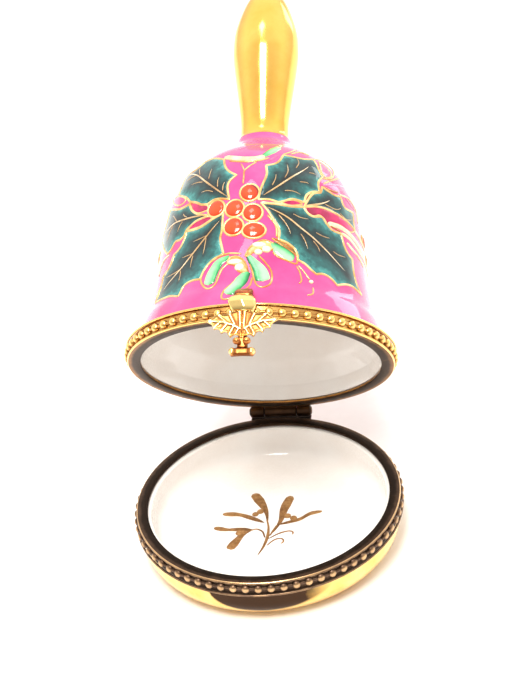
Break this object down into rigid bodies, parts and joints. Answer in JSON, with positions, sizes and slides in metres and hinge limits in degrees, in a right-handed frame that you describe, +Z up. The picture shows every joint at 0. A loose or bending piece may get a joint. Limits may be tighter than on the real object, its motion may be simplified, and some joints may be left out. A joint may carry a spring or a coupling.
{
  "type": "hinged porcelain bell box",
  "caption": "Hand bell shaped porcelain box, shown open: a shallow dish base and a bell lid with a handle, joined by a brass hinge and a leaf clasp.",
  "frame": {"origin": "centre of the dish's flat underside", "axes": "+Z up out of the dish, +Y towards the hinge, -Y towards the clasp's side, +X to the right seen from the clasp's side"},
  "size_m": [0.0514, 0.1025, 0.08],
  "materials": {
    "gold_lustre_porcelain": "gold lustre outside, white glaze inside with a gold sprig",
    "pink_glazed_porcelain": "hand painted pink ground with holly and mistletoe, gold outlines, glossy glaze; white glaze inside",
    "gilded_porcelain": "bright burnished gold",
    "antique_brass": "darkened flats, rubbed bright on the beads and edges",
    "polished_brass": "polished casting, darker in its veins"
  },
  "bodies": {
    "base": {"base_dish": "gold_lustre_porcelain", "base_bezel": "antique_brass", "base_bead_wire": "antique_brass", "base_edge_wire": "antique_brass", "base_hinge_leaf": "antique_brass", "base_knuckle_left": "antique_brass", "base_knuckle_right": "antique_brass", "hinge_pin": "antique_brass"},
    "lid": {"bell_shell": "pink_glazed_porcelain", "handle": "gilded_porcelain", "bell_bezel": "antique_brass", "bell_bead_wire": "antique_brass", "bell_edge_wire": "antique_brass", "bell_hinge_leaf": "antique_brass", "bell_knuckle": "antique_brass", "clasp_boss": "polished_brass", "clasp_tongue": "polished_brass", "clasp_leaf_right": "polished_brass", "clasp_leaf_left": "polished_brass", "clasp_berry_right": "polished_brass", "clasp_berry_left": "polished_brass"}
  },
  "joints": [
    {"name": "lid_hinge", "type": "hinge", "parent": "base", "child": "lid", "pos_m": [0, 0.0269, 0.01015], "axis": [-1, 0, 0], "range_deg": [-54.4, 0]}
  ]
}
